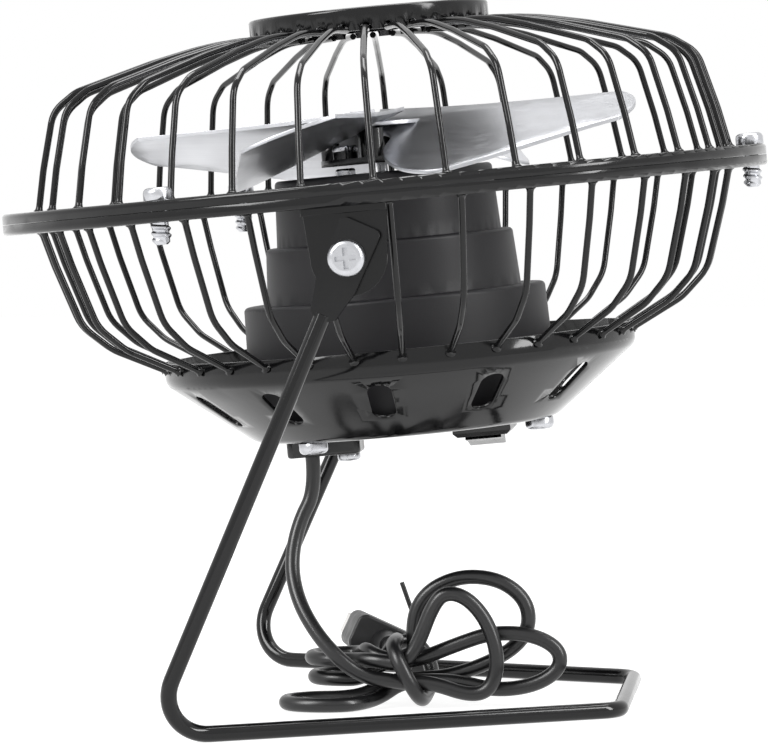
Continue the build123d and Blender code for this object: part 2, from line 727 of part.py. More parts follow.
# ================================================================ switch
bezel_face = pan_bottom - seat_gap - bezel_size[2]
rocker_axis_height = bezel_face + rocker_pivot_depth
with BuildPart() as switch_body:
    with BuildSketch(Plane.XY.offset(pan_bottom - seat_gap)):
        with Locations((switch_x, 0)):
            Rectangle(bezel_size[0], bezel_size[1])
    extrude(amount=-bezel_size[2])
    chamfer(switch_body.faces().sort_by(Axis.Z)[0].edges(), bezel_chamfer)
    with BuildSketch(Plane.XY.offset(pan_bottom - seat_gap)):
        with Locations((switch_x, 0)):
            Rectangle(*switch_body_size)
    extrude(amount=switch_depth)
    with BuildSketch(Plane.XY.offset(bezel_face - 1)):
        with Locations((switch_x, 0)):
            Rectangle(rocker_width + 2 * rocker_gap, 2 * (rocker_swing_radius + rocker_gap))
    extrude(amount=rocker_pivot_depth + 1 + 4.0, mode=Mode.SUBTRACT)
    with Locations((switch_x, 0, rocker_axis_height)):
        Cylinder(
            rocker_pin_radius + pivot_running_gap,
            switch_body_size[0] - switch_wall,
            rotation=(0, 90, 0),
            mode=Mode.SUBTRACT,
        )
head_pieces["switch_body"] = switch_body

# Rocker, drawn about its pin with its outer face along -z, and set down at the off side.
with BuildPart() as rocker_shape:
    with BuildSketch(Plane.YZ):
        with BuildLine():
            end_depth = math.sqrt(rocker_swing_radius**2 - rocker_half_length**2)
            Polyline(
                (-rocker_half_length, -end_depth),
                (0, rocker_dish - end_depth),
                (rocker_half_length, -end_depth),
                (rocker_half_length * 0.6, rocker_root),
                (-rocker_half_length * 0.6, rocker_root),
                close=True,
            )
        make_face()
    extrude(amount=rocker_width / 2, both=True)
    Cylinder(rocker_pin_radius, switch_body_size[0] - switch_wall - 0.1, rotation=(0, 90, 0))

with BuildPart() as switch_rocker:
    with Locations(Location((switch_x, 0, rocker_axis_height), (-rocker_throw, 0, 0))):
        add(rocker_shape.part)
head_pieces["switch_rocker"] = switch_rocker

terminal_base = pan_bottom - seat_gap + switch_depth + seat_gap
with BuildPart() as switch_terminals:
    for side in (-1, 1):
        with Locations((switch_x, side * terminal_spread, terminal_base)):
            Box(2.8, 0.5, terminal_length, align=standing)
head_pieces["switch_terminals"] = switch_terminals

# ================================================================ cord clamp and inner leads
clamp_top = pan_bottom - seat_gap
with BuildPart() as cord_clamp:
    with BuildSketch(Plane.XY.offset(clamp_top)):
        with Locations(clamp_middle):
            RectangleRounded(clamp_size[0], clamp_size[1], 1.2)
    extrude(amount=-clamp_size[2])
    fillet(cord_clamp.faces().sort_by(Axis.Z)[0].edges(), 0.6)
    with Locations((*cord_exit_at, clamp_top)):
        Cylinder(cord_diameter / 2 + seat_gap, 3 * clamp_size[2], mode=Mode.SUBTRACT)
    with Locations((*clamp_screw_at, clamp_top)):
        Cylinder(clamp_screw_shank[0] + seat_gap, 3 * clamp_size[2], mode=Mode.SUBTRACT)
head_pieces["cord_clamp"] = cord_clamp

clamp_under = (*clamp_screw_at, clamp_top - clamp_size[2] - seat_gap)
one_clamp_screw = screw(clamp_screw_head, clamp_screw_shank)
with BuildPart() as clamp_screw:
    with Locations(Plane(clamp_under, x_dir=(1, 0, 0), z_dir=(0, 0, -1))):
        add(one_clamp_screw)
head_pieces["clamp_screw"] = clamp_screw

stub_end = clamp_top - clamp_size[2]
stub_top = pan_bottom + pan_sheet + cord_stub_inside
with BuildPart() as cord_stub:
    with BuildSketch(Plane.XY.offset(stub_end)):
        with Locations(cord_exit_at):
            Circle(cord_diameter / 2)
    extrude(amount=stub_top - stub_end)
head_pieces["cord_stub"] = cord_stub

# Two thin leads inside the pan, from the cord to the switch and from the switch to the motor.
terminal_top = terminal_base + terminal_length
inner_level = can_back - inner_lead_drop
inner_routes = (
    [
        (*cord_exit_at, stub_top + seat_gap),
        (*cord_exit_at, stub_top + 5.2),
        (-6.0, -6.0, inner_level - 2.3),
        (8.0, -4.5, inner_level - 0.2),
        (switch_x, -terminal_spread, inner_level),
        (switch_x, -terminal_spread, terminal_top + seat_gap),
    ],
    [
        (switch_x, terminal_spread, terminal_top + seat_gap),
        (switch_x, terminal_spread, inner_level - 0.1),
        (switch_x - 3.8, 4.6, inner_level + 0.3),
        (*motor_tab_at, inner_level + 0.3),
        (*motor_tab_at, can_back - seat_gap),
    ],
)
inner_tubes = [tube(route, bend_radii(route, inner_lead_bend), inner_lead)[0] for route in inner_routes]
with BuildPart() as inner_leads:
    add(inner_tubes)
head_pieces["inner_leads"] = inner_leads

# ================================================================ cord
# The tied bundle has three loops to the right of its waist, each in an upright plane of its own,
# three to the left, one turn round the waist, and a tail that climbs to the plug.
near, middle, far = (waist_y + step * strand_pitch for step in (-1, 0, 1))
wrap_near = waist_y - 2 * strand_pitch
wrap_far = waist_y + 2 * strand_pitch


def steps(start, stop, count):
    """Evenly spaced angles, in radians, from start to stop degrees."""
    return [math.radians(start + (stop - start) * index / (count - 1)) for index in range(count)]


def standing_loop(y, middle, reach, width, lean, angles):
    """Corners of an elliptic loop that stands in an upright plane to the right of the waist."""
    cosine = math.cos(math.radians(lean))
    sine = math.sin(math.radians(lean))
    corners = []
    for angle in angles:
        along = reach * math.cos(angle)
        across = width * math.sin(angle)
        x = middle[0] + along * cosine - across * sine
        corners.append((x, y, middle[1] + along * sine + across * cosine))
    return corners


def lying_loop(middle, reach, width, level, angles):
    """Corners of an elliptic loop that lies level to the left of the waist."""
    return [
        (middle[0] - reach * math.cos(angle), middle[1] + width * math.sin(angle), level)
        for angle in angles
    ]


bundle_route = [
    (3.6, near, low_strand),
    (8.4, near, low_strand),
    *standing_loop(near, (14.6, 12.2), 6.0, 10.3, 20, steps(-110, 10, 4)),
    *standing_loop(near, (14.6, 12.2), 6.0, 10.3, 20, steps(45, 110, 3)),
    (5.6, near, 11.0),
    (2.6, near, high_strand),
    (-3.0, near + 0.8, high_strand + 0.9),
    *lying_loop((-8.4, -1.6), 7.2, 6.0, high_strand + 0.5, steps(-100, 92, 6)),
    (-5.4, 2.2, high_strand + 0.9),
    (-4.7, -5.0, high_strand + 2.4),
    (-1.6, middle + 0.3, high_strand + 0.9),
    (4.5, middle, high_strand),
    *standing_loop(middle, (22.0, 8.6), 11.2, 5.6, 2, steps(140, -140, 8)),
    (8.5, middle, low_strand),
    (2.6, middle, low_strand - 0.2),
    (-1.8, -9.4, floor_strand + 0.2),
    *lying_loop((-10.9, -12.4), 8.5, 5.8, floor_strand, steps(-130, 105, 7)),
    (-4.5, -6.0, floor_strand + 0.6),
    (0.0, far, low_strand - 0.4),
    (5.0, far, low_strand),
    (12.0, far, low_strand + 0.4),
    *standing_loop(far, (15.7, 16.2), 11.4, 8.5, 3, steps(-60, 175, 7)),
    (4.9, far, high_strand + 0.1),
    (-2.0, far, high_strand - 0.5),
    *lying_loop((-8.2, 0.9), 7.2, 5.3, low_strand - 0.1, steps(-112, 120, 7)),
    (-2.0, 3.4, 8.0),
    (0.3, 1.4, 11.2),
    (wrap_top_x, wrap_far, top_strand),
    (wrap_top_x, wrap_near, top_strand),
    (wrap_bottom_x, wrap_near, floor_strand),
    (wrap_bottom_x, wrap_far, floor_strand),
    (7.6, 2.8, 4.6),
    *tail_climb,
    (-0.9, 5.82, 9.78),
    cord_end,
]
cord_start = head.from_local_coords(Vector(*cord_exit_at, stub_end - seat_gap))
lead_route = [
    tuple(cord_start),
    tuple(cord_start - head.z_dir * 6.5),
    (-17.3, -2.6, 34.5),
    (-18.6, -5.0, 27.0),
    (-17.0, -8.0, 20.3),
    (-13.2, -10.8, 14.2),
    (-8.4, -12.6, 9.2),
    (-4.2, -12.3, 6.2),
]
# The lead hands over to the bundle on a straight run.
handover = tuple(Vector(*lead_route[-1]) * 0.4 + Vector(*bundle_route[0]) * 0.6)
lead_route.append(handover)
bundle_route.insert(0, handover)

lead_radii = bend_radii(lead_route)
cord_lead, lead_line = tube(lead_route, lead_radii, cord_diameter)
bundle_radii = bend_radii(bundle_route)
for corner, point in enumerate(bundle_route[1:-1]):
    if point[1] in (wrap_near, wrap_far):
        bundle_radii[corner] = min(bundle_radii[corner], strand_pitch)
cord_hank, hank_line = tube(bundle_route, bundle_radii, cord_diameter)
table_pieces["cord_lead"] = cord_lead
table_pieces["cord_hank"] = cord_hank


def least_gap(line, diameter):
    """The least clearance of a tube to itself, past 2.6 diameters along it, and the place."""
    step = 0.5
    count = int(line.length / step)
    points = [line @ (index / count) for index in range(count + 1)]
    apart = int(2.6 * diameter / step) + 1
    pairs = (
        ((points[first] - points[second]).length, points[first])
        for first in range(len(points))
        for second in range(first + apart, len(points))
    )
    distance, place = min(pairs, key=lambda pair: pair[0])
    return distance - diameter, place


print("cord lead bend radii", [round(radius, 1) for radius in lead_radii])
print("hank bend radii", [round(radius, 1) for radius in bundle_radii])
for name, line, solid in (("lead", lead_line, cord_lead), ("hank", hank_line, cord_hank)):
    expected = math.pi * cord_diameter**2 / 4 * line.length
    print(name, "length", round(line.length, 1), "volume ratio", round(solid.volume / expected, 4))
gap, place = least_gap(hank_line, cord_diameter)
print("hank least gap to itself", round(gap, 2), "at", place)

# Wire tie twisted round the cord's tail, with its two ends standing up.
tail_start, tail_stop = (Vector(*point) for point in tail_climb)
tie_axis = (tail_stop - tail_start).normalized()
tie_middle = (tail_start + tail_stop) * 0.5
tie_ring = cord_diameter / 2 + tie_wire / 2 + seat_gap
tie_up = (Vector(0, 0, 1) - tie_axis * tie_axis.Z).normalized()
tie_foot = tuple(tie_middle + tie_up * tie_ring)
long_end = [tie_foot, (3.4, 4.9, 16.6), (1.5, 4.6, 22.4)]
short_end = [tie_foot, (6.4, 5.2, 14.2), (5.6, 5.4, 16.6)]
tie_ends = [tube(points, bend_radii(points), tie_wire)[0] for points in (long_end, short_end)]
with BuildPart() as twist_tie:
    with Locations(Plane(tie_middle, z_dir=tie_axis)):
        Torus(tie_ring, tie_wire / 2)
    add(tie_ends)
table_pieces["twist_tie"] = twist_tie.part

# ================================================================ plug
plug_dir = Vector(*plug_heading).normalized()
plug_side = Vector(math.cos(math.radians(plug_roll)), 0, -math.sin(math.radians(plug_roll)))
plug = Plane(Vector(*cord_end), x_dir=plug_side - plug_dir * plug_side.dot(plug_dir), z_dir=plug_dir)
plug_axis = Axis(plug.origin, plug_dir)
with BuildPart() as usb_overmold:
    with BuildSketch(plug.offset(neck_length)):
        RectangleRounded(overmold_size[0], overmold_size[1], overmold_corner)
    extrude(amount=overmold_size[2])
    fillet(usb_overmold.faces().sort_by(plug_axis)[0].edges(), overmold_edge)
    fillet(usb_overmold.faces().sort_by(plug_axis)[-1].edges(), overmold_edge)
    with BuildSketch(plug.offset(seat_gap)):
        Circle(neck_radii[0])
    with BuildSketch(plug.offset(neck_length + overmold_edge)):
        Circle(neck_radii[1])
    loft()
table_pieces["usb_overmold"] = usb_overmold.part

shell_at = neck_length + overmold_size[2] + seat_gap
shell_inside = (shell_size[0] - 2 * shell_sheet, shell_size[1] - 2 * shell_sheet)
with BuildPart() as usb_shell:
    with BuildSketch(plug.offset(shell_at)):
        RectangleRounded(shell_size[0], shell_size[1], shell_corner)
        Rectangle(shell_inside[0], shell_inside[1], mode=Mode.SUBTRACT)
    extrude(amount=shell_size[2])
table_pieces["usb_shell"] = usb_shell.part

with BuildPart() as usb_tongue:
    with BuildSketch(plug.offset(shell_at)):
        with Locations((0, shell_inside[1] / 2 - seat_gap - tongue_thickness / 2)):
            Rectangle(shell_inside[0] - 2 * seat_gap, tongue_thickness)
    extrude(amount=shell_size[2] - tongue_setback)
table_pieces["usb_tongue"] = usb_tongue.part

# ================================================================ write the pieces
finished = {name: piece.part.moved(head.location) for name, piece in head_pieces.items()}
finished |= table_pieces
os.makedirs("parts", exist_ok=True)
for name, part in finished.items():
    part.label = name
    export_step(part, f"parts/{name}.step")
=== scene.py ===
import json
import math

import bmesh
import bpy
from mathutils import Matrix, Vector


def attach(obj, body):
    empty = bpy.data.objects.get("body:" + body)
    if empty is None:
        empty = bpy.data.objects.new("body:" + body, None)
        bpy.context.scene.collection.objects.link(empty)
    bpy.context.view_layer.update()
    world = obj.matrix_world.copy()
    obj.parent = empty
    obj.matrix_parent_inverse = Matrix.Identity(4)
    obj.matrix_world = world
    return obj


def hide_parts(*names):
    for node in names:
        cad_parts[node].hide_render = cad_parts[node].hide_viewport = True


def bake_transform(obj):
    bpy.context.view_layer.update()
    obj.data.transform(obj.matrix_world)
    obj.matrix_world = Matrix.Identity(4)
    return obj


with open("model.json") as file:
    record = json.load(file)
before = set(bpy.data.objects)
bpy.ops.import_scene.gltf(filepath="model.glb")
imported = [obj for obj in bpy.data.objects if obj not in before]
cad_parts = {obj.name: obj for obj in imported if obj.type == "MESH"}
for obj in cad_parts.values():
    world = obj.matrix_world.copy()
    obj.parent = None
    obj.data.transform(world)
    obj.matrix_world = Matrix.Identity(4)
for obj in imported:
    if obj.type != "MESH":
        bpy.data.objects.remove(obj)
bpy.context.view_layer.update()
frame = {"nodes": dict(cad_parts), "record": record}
nodes = frame["nodes"]
mm = 0.001
print("frame loaded:", len(nodes), "nodes")

# camera, at the photographed angle
photoView = {
    "place": (0.092644, -0.852319, 0.105859),
    "yaw": 0.1091,  # radians, towards -X
    "pitch": 0.0502,  # downwards
    "roll": -0.0173,
    "lens": 211.75,  # mm, on a 36 mm sensor
    "nearest": 0.05,  # m, clipping
}
yaw, pitch, roll = (photoView[name] for name in ("yaw", "pitch", "roll"))
ahead = Vector((
    -math.sin(yaw) * math.cos(pitch), math.cos(yaw) * math.cos(pitch), -math.sin(pitch)))
level = Vector((math.cos(yaw), math.sin(yaw), 0))
upright = level.cross(ahead)
rightward = level * math.cos(roll) + upright * math.sin(roll)
upward = upright * math.cos(roll) - level * math.sin(roll)
camera = bpy.data.objects.new("photoCamera", bpy.data.cameras.new("photoCamera"))
bpy.context.scene.collection.objects.link(camera)
camera.data.lens = photoView["lens"]
camera.data.clip_start = photoView["nearest"]
camera.matrix_world = Matrix.Translation(photoView["place"]) @ Matrix(
    (rightward, upward, -ahead)
).transposed().to_4x4()
bpy.context.scene.camera = camera
bpy.context.scene.view_settings.view_transform = "Standard"


def linear(hexColour):
    parts = [int(hexColour[start:start + 2], 16) / 255 for start in (1, 3, 5)]
    return (*(c / 12.92 if c <= 0.04045 else ((c + 0.055) / 1.055) ** 2.4 for c in parts), 1)


def addNode(tree, kind, sockets=None, **settings):
    node = tree.nodes.new(kind)
    for name, value in settings.items():
        setattr(node, name, value)
    for name, value in (sockets or {}).items():
        if isinstance(value, bpy.types.NodeSocket):
            tree.links.new(value, node.inputs[name])
        else:
            node.inputs[name].default_value = value
    return node


def newMaterial(name):
    material = bpy.data.materials.new(name)
    material.use_nodes = True
    material.node_tree.nodes.clear()
    return material, material.node_tree


# 1 where the camera, a shiny face or a clear one looks straight at a backdrop, and 0 elsewhere
def straightLook(tree):
    ray = addNode(tree, "ShaderNodeLightPath")
    seen = ray.outputs["Is Camera Ray"]
    for kind in ("Is Glossy Ray", "Is Transmission Ray"):
        seen = addNode(tree, "ShaderNodeMath", {0: seen, 1: ray.outputs[kind]},
                       operation="MAXIMUM").outputs[0]
    return seen


# white studio: soft light all round, and white wherever a straight look goes past the fan
studio = {
    "ambient": 0.3,
    "white": "#ffffff",
    "floorHalf": 2.0,  # m
    "floorGlow": 0.915,  # what stays of the floor's white in full shadow
    "floorWhite": "#949494",
    "floorPaper": "#e8e8e8",  # what the floor is for the light that bounces off it
    "aim": (0, 0, 0.08),  # m, where the lamps point
    "lamps": (  # place and size in m, power in W
        ("leftSoftbox", (-0.75, -0.75, 0.85), (0.5, 0.9), 16),
        ("rightSoftbox", (0.95, -0.45, 0.65), (0.25, 0.9), 10),
        ("topSoftbox", (0.05, 0.25, 1.1), (0.9, 0.4), 9),
    ),
}
world = bpy.data.worlds.new("whiteStudio")
world.use_nodes = True
bpy.context.scene.world = world
tree = world.node_tree
tree.nodes.clear()
white = linear(studio["white"])
soft = addNode(tree, "ShaderNodeBackground", {"Color": white, "Strength": studio["ambient"]})
bright = addNode(tree, "ShaderNodeBackground", {"Color": white, "Strength": 1})
mixed = addNode(tree, "ShaderNodeMixShader", {
    0: straightLook(tree), 1: soft.outputs[0], 2: bright.outputs[0]})
addNode(tree, "ShaderNodeOutputWorld", {"Surface": mixed.outputs[0]})

# matt white paper backdrop, which keeps the fan's shadow
paperBackdrop, tree = newMaterial("paperBackdrop")
plain = addNode(tree, "ShaderNodeBsdfDiffuse", {"Color": linear(studio["floorPaper"])})
faint = addNode(tree, "ShaderNodeBsdfDiffuse", {"Color": linear(studio["floorWhite"])})
glow = addNode(tree, "ShaderNodeEmission", {"Color": white, "Strength": studio["floorGlow"]})
shown = addNode(tree, "ShaderNodeAddShader", {0: faint.outputs[0], 1: glow.outputs[0]})
mixed = addNode(tree, "ShaderNodeMixShader", {
    0: straightLook(tree), 1: plain.outputs[0], 2: shown.outputs[0]})
addNode(tree, "ShaderNodeOutputMaterial", {"Surface": mixed.outputs[0]})
half = studio["floorHalf"]
floorMesh = bpy.data.meshes.new("floor")
floorCorners = [(-half, -half, 0), (half, -half, 0), (half, half, 0), (-half, half, 0)]
floorMesh.from_pydata(floorCorners, [], [(0, 1, 2, 3)])
floorMesh.materials.append(paperBackdrop)
floor = bpy.data.objects.new("floor", floorMesh)
bpy.context.scene.collection.objects.link(floor)
for name, place, size, power in studio["lamps"]:
    lamp = bpy.data.lights.new(name, "AREA")
    lamp.shape = "RECTANGLE"
    lamp.size, lamp.size_y = size
    lamp.energy = power
    holder = bpy.data.objects.new(name, lamp)
    holder.location = place
    towards = Vector(studio["aim"]) - Vector(place)
    holder.rotation_euler = towards.to_track_quat("-Z", "Y").to_euler()
    bpy.context.scene.collection.objects.link(holder)
print("studio and camera set")

noiseSpan = (0.3, 0.7)  # the values that most of a noise texture lies between

# stoved black enamel on steel: a thick glossy film, near black, with faint orange peel
enamel = {
    "colour": "#0b0b0c", "specular": 0.36, "roughness": (0.08, 0.17),
    "peelWidth": 1.8 * mm, "peelDepth": 0.007 * mm, "hazeWidth": 9 * mm, "hazeSpan": (0.35, 0.7),
}
stovedEnamel, tree = newMaterial("stovedEnamel")
place = addNode(tree, "ShaderNodeTexCoord").outputs["Object"]
peel = addNode(tree, "ShaderNodeTexNoise", {
    "Vector": place, "Scale": 1 / enamel["peelWidth"], "Detail": 2})
haze = addNode(tree, "ShaderNodeTexNoise", {
    "Vector": place, "Scale": 1 / enamel["hazeWidth"], "Detail": 4})
sheen = addNode(tree, "ShaderNodeMapRange", {
    "Value": haze.outputs["Fac"],
    "From Min": enamel["hazeSpan"][0], "From Max": enamel["hazeSpan"][1],
    "To Min": enamel["roughness"][0], "To Max": enamel["roughness"][1]})
waves = addNode(tree, "ShaderNodeBump", {
    "Height": peel.outputs["Fac"], "Strength": 1, "Distance": enamel["peelDepth"]})
shader = addNode(tree, "ShaderNodeBsdfPrincipled", {
    "Base Color": linear(enamel["colour"]), "Roughness": sheen.outputs[0], "IOR": 1.5,
    "Specular IOR Level": enamel["specular"], "Normal": waves.outputs[0]})
addNode(tree, "ShaderNodeOutputMaterial", {"Surface": shader.outputs[0]})

# injection-moulded ABS with a spark-eroded grain: dark grey and satin
coverAbs = {
    "colour": "#151417", "shade": "#111013", "specular": 0.34, "roughness": 0.46,
    "grain": 0.35 * mm, "grainDepth": 0.012 * mm, "cloud": 14 * mm,
}
erodedAbs, tree = newMaterial("erodedAbs")
place = addNode(tree, "ShaderNodeTexCoord").outputs["Object"]
grain = addNode(tree, "ShaderNodeTexNoise", {
    "Vector": place, "Scale": 1 / coverAbs["grain"], "Detail": 3})
cloud = addNode(tree, "ShaderNodeTexNoise", {
    "Vector": place, "Scale": 1 / coverAbs["cloud"], "Detail": 2})
tone = addNode(tree, "ShaderNodeMix", {
    0: cloud.outputs["Fac"], 6: linear(coverAbs["colour"]), 7: linear(coverAbs["shade"]),
}, data_type="RGBA")
pits = addNode(tree, "ShaderNodeBump", {
    "Height": grain.outputs["Fac"], "Strength": 1, "Distance": coverAbs["grainDepth"]})
shader = addNode(tree, "ShaderNodeBsdfPrincipled", {
    "Base Color": tone.outputs[2], "Roughness": coverAbs["roughness"], "IOR": 1.53,
    "Specular IOR Level": coverAbs["specular"], "Normal": pits.outputs[0]})
addNode(tree, "ShaderNodeOutputMaterial", {"Surface": shader.outputs[0]})

# bright zinc plate on cold-headed steel: silvery, a little clouded
zinc = {
    "colour": "#cdced2", "dull": "#b4b5b8", "roughness": (0.16, 0.34),
    "cloud": 1.2 * mm, "depth": 0.006 * mm,
}
brightZinc, tree = newMaterial("brightZinc")
place = addNode(tree, "ShaderNodeTexCoord").outputs["Object"]
cloud = addNode(tree, "ShaderNodeTexNoise", {
    "Vector": place, "Scale": 1 / zinc["cloud"], "Detail": 4})
tone = addNode(tree, "ShaderNodeMix", {
    0: cloud.outputs["Fac"], 6: linear(zinc["colour"]), 7: linear(zinc["dull"]),
}, data_type="RGBA")
sheen = addNode(tree, "ShaderNodeMapRange", {
    "Value": cloud.outputs["Fac"], "From Min": noiseSpan[0], "From Max": noiseSpan[1],
    "To Min": zinc["roughness"][0], "To Max": zinc["roughness"][1]})
waves = addNode(tree, "ShaderNodeBump", {
    "Height": cloud.outputs["Fac"], "Strength": 1, "Distance": zinc["depth"]})
shader = addNode(tree, "ShaderNodeBsdfPrincipled", {
    "Base Color": tone.outputs[2], "Metallic": 1, "Roughness": sheen.outputs[0],
    "Normal": waves.outputs[0]})
addNode(tree, "ShaderNodeOutputMaterial", {"Surface": shader.outputs[0]})

# rolled aluminium sheet: pale, soft reflections drawn out along the rolling lines
sheet = {
    "colour": "#d6d7da", "dull": "#c2c3c7", "roughness": (0.3, 0.42),
    "lines": 0.5 * mm, "run": 30 * mm, "turn": 0.5,  # radians, of the rolling lines
    "depth": 0.001 * mm, "cloud": 11 * mm,
}
rolledAluminium, tree = newMaterial("rolledAluminium")
place = addNode(tree, "ShaderNodeTexCoord").outputs["Object"]
drawn = addNode(tree, "ShaderNodeMapping", {
    "Vector": place, "Rotation": (0, 0, sheet["turn"]),
    "Scale": (1 / sheet["run"], 1 / sheet["lines"], 1 / sheet["lines"])})
lines = addNode(tree, "ShaderNodeTexNoise", {"Vector": drawn.outputs[0], "Scale": 1, "Detail": 5})
cloud = addNode(tree, "ShaderNodeTexNoise", {
    "Vector": place, "Scale": 1 / sheet["cloud"], "Detail": 3})
tone = addNode(tree, "ShaderNodeMix", {
    0: cloud.outputs["Fac"], 6: linear(sheet["colour"]), 7: linear(sheet["dull"]),
}, data_type="RGBA")
sheen = addNode(tree, "ShaderNodeMapRange", {
    "Value": lines.outputs["Fac"], "From Min": noiseSpan[0], "From Max": noiseSpan[1],
    "To Min": sheet["roughness"][0], "To Max": sheet["roughness"][1]})
scored = addNode(tree, "ShaderNodeBump", {
    "Height": lines.outputs["Fac"], "Strength": 1, "Distance": sheet["depth"]})
shader = addNode(tree, "ShaderNodeBsdfPrincipled", {
    "Base Color": tone.outputs[2], "Metallic": 1, "Roughness": sheen.outputs[0],
    "Normal": scored.outputs[0]})
addNode(tree, "ShaderNodeOutputMaterial", {"Surface": shader.outputs[0]})

# how much a plain finish varies: cloud width in grains, and least and most share of its roughness
plainVary = {"cloudGrains": 6, "least": 0.85, "most": 1.2}


# plain plastics and metals of the smaller pieces: name, two colours, metallic, roughness, IOR,
# grain width and depth in mm
def plainFinish(name, colour, shade, metallic, roughness, ior, grainWidth, grainDepth):
    material, tree = newMaterial(name)
    place = addNode(tree, "ShaderNodeTexCoord").outputs["Object"]
    grain = addNode(tree, "ShaderNodeTexNoise", {
        "Vector": place, "Scale": 1 / (grainWidth * mm), "Detail": 3})
    cloud = addNode(tree, "ShaderNodeTexNoise", {
        "Vector": place, "Scale": 1 / (plainVary["cloudGrains"] * grainWidth * mm), "Detail": 2})
    tone = addNode(tree, "ShaderNodeMix", {
        0: cloud.outputs["Fac"], 6: linear(colour), 7: linear(shade)}, data_type="RGBA")
    sheen = addNode(tree, "ShaderNodeMapRange", {
        "Value": cloud.outputs["Fac"], "From Min": noiseSpan[0], "From Max": noiseSpan[1],
        "To Min": roughness * plainVary["least"], "To Max": roughness * plainVary["most"]})
    pits = addNode(tree, "ShaderNodeBump", {
        "Height": grain.outputs["Fac"], "Strength": 1, "Distance": grainDepth * mm})
    sockets = {
        "Base Color": tone.outputs[2], "Metallic": metallic, "Roughness": sheen.outputs[0],
        "Normal": pits.outputs[0]}
    if ior:
        sockets["IOR"] = ior
    shader = addNode(tree, "ShaderNodeBsdfPrincipled", sockets)
    addNode(tree, "ShaderNodeOutputMaterial", {"Surface": shader.outputs[0]})
    return material


# polished-mould ABS, black and fairly glossy
glossAbs = plainFinish("glossAbs", "#0d0d0e", "#111112", 0, 0.24, 1.53, 0.8, 0.004)
# soft PVC jacket, extruded: black, satin, with faint draw ripples
cordPvc = plainFinish("cordPvc", "#0d0d0e", "#131314", 0, 0.3, 1.53, 1.1, 0.012)
# PVC moulded over the plug, matt from the mould
plugPvc = plainFinish("plugPvc", "#101011", "#151516", 0, 0.42, 1.53, 0.4, 0.01)
# nickel on drawn steel, nearly a mirror
nickel = plainFinish("nickelPlate", "#d2cfca", "#c3c0bb", 1, 0.18, None, 0.7, 0.003)
# ground steel, fine and grey
groundSteel = plainFinish("groundSteel", "#a5a6a8", "#8e8f92", 1, 0.3, None, 0.5, 0.004)
# enamelled copper wire: warm, coppery, under a clear film
copperWire = plainFinish("copperWire", "#b5653a", "#94502c", 1, 0.32, None, 0.6, 0.03)
# sintered bronze: dull and porous
sinteredBronze = plainFinish("sinteredBronze", "#9a7440", "#7f5f34", 1, 0.5, None, 0.35, 0.02)
# sintered ferrite: charcoal, rough
sinteredFerrite = plainFinish("sinteredFerrite", "#2c2c2e", "#222224", 0, 0.7, 1.5, 0.5, 0.03)
# natural nylon: milky and soft
naturalNylon = plainFinish("naturalNylon", "#d6d4c8", "#c9c6b8", 0, 0.45, 1.53, 0.6, 0.01)
# silicone sleeve on the thin leads
redSleeve = plainFinish("redSleeve", "#8e1a1a", "#7a1515", 0, 0.4, 1.45, 0.6, 0.01)

slotFinish = {
    "black_paint": stovedEnamel,
    "grey_cover": erodedAbs,
    "zinc": brightZinc,
    "blade_metal": rolledAluminium,
    "black_plastic": glossAbs,
    "plug_plastic": plugPvc,
    "cord_jacket": cordPvc,
    "lead_sleeve": redSleeve,
    "tie_plastic": glossAbs,
    "steel": groundSteel,
    "copper": copperWire,
    "bronze": sinteredBronze,
    "ferrite": sinteredFerrite,
    "nylon": naturalNylon,
    "shell_steel": nickel,
}
for entry in frame["record"]["subparts"]:
    piece = nodes[entry["node"]]
    piece.material_slots[0].material = slotFinish[entry["material_slot"]]
print("materials on the frame's nodes")


def smoothPiece(name, mesh, material, body=None, sharpAngle=35):
    mesh.normal_update()
    sharp = math.radians(sharpAngle)
    for edge in mesh.edges:
        edge.smooth = len(edge.link_faces) != 2 or edge.calc_face_angle(0) < sharp
    for face in mesh.faces:
        face.smooth = True
    data = bpy.data.meshes.new(name)
    mesh.to_mesh(data)
    mesh.free()
    data.materials.append(material)
    piece = bpy.data.objects.new(name, data)
    bpy.context.scene.collection.objects.link(piece)
    if body:
        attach(piece, body)
    return piece


# ring after ring of points joined by quads, with its two ends closed
def skin(mesh, rings, capped=True):
    rows = [[mesh.verts.new(point) for point in ring] for ring in rings]
    for row, following in zip(rows, rows[1:]):
        for here in range(len(row)):
            there = (here + 1) % len(row)
            mesh.faces.new((row[here], row[there], following[there], following[here]))
    if capped:
        mesh.faces.new(tuple(reversed(rows[0])))
        mesh.faces.new(tuple(rows[-1]))


# directions square to a path at each of its points, carried along it without twist
def squareFrames(path, side=Vector((0, 1, 0))):
    frames = []
    for index, point in enumerate(path):
        before = path[max(index - 1, 0)]
        after = path[min(index + 1, len(path) - 1)]
        along = (after - before).normalized()
        side = side - along * side.dot(along)
        side = side.normalized() if side.length > 1e-6 else along.orthogonal().normalized()
        frames.append((point, side, along.cross(side)))
    return frames


def roundRings(path, radii, sides):
    rings = []
    turn = [2 * math.pi * step / sides for step in range(sides)]
    for (middle, side, other), radius in zip(squareFrames(path), radii):
        rings.append([
            middle + side * math.cos(a) * radius + other * math.sin(a) * radius for a in turn])
    return rings


# the tied cord: down from the clamp, three loops each way and a turn round the waist
cordPlan = {
    "diameter": 2.8 * mm,
    "near": -11.4, "middle": -8.0, "far": -4.6,  # upright planes of the right-hand loops, mm
    "wrapNear": -14.8, "wrapFar": -1.2,
    "floor": 1.6, "low": 5.0, "high": 8.4, "top": 12.2,  # layers of strands
    "length": 0.453,  # m, clamp to plug
    "sides": 24,
    "smoothness": 12,  # points of the spline for each corner
}


def steps(start, stop, count):
    return [math.radians(start + (stop - start) * index / (count - 1)) for index in range(count)]


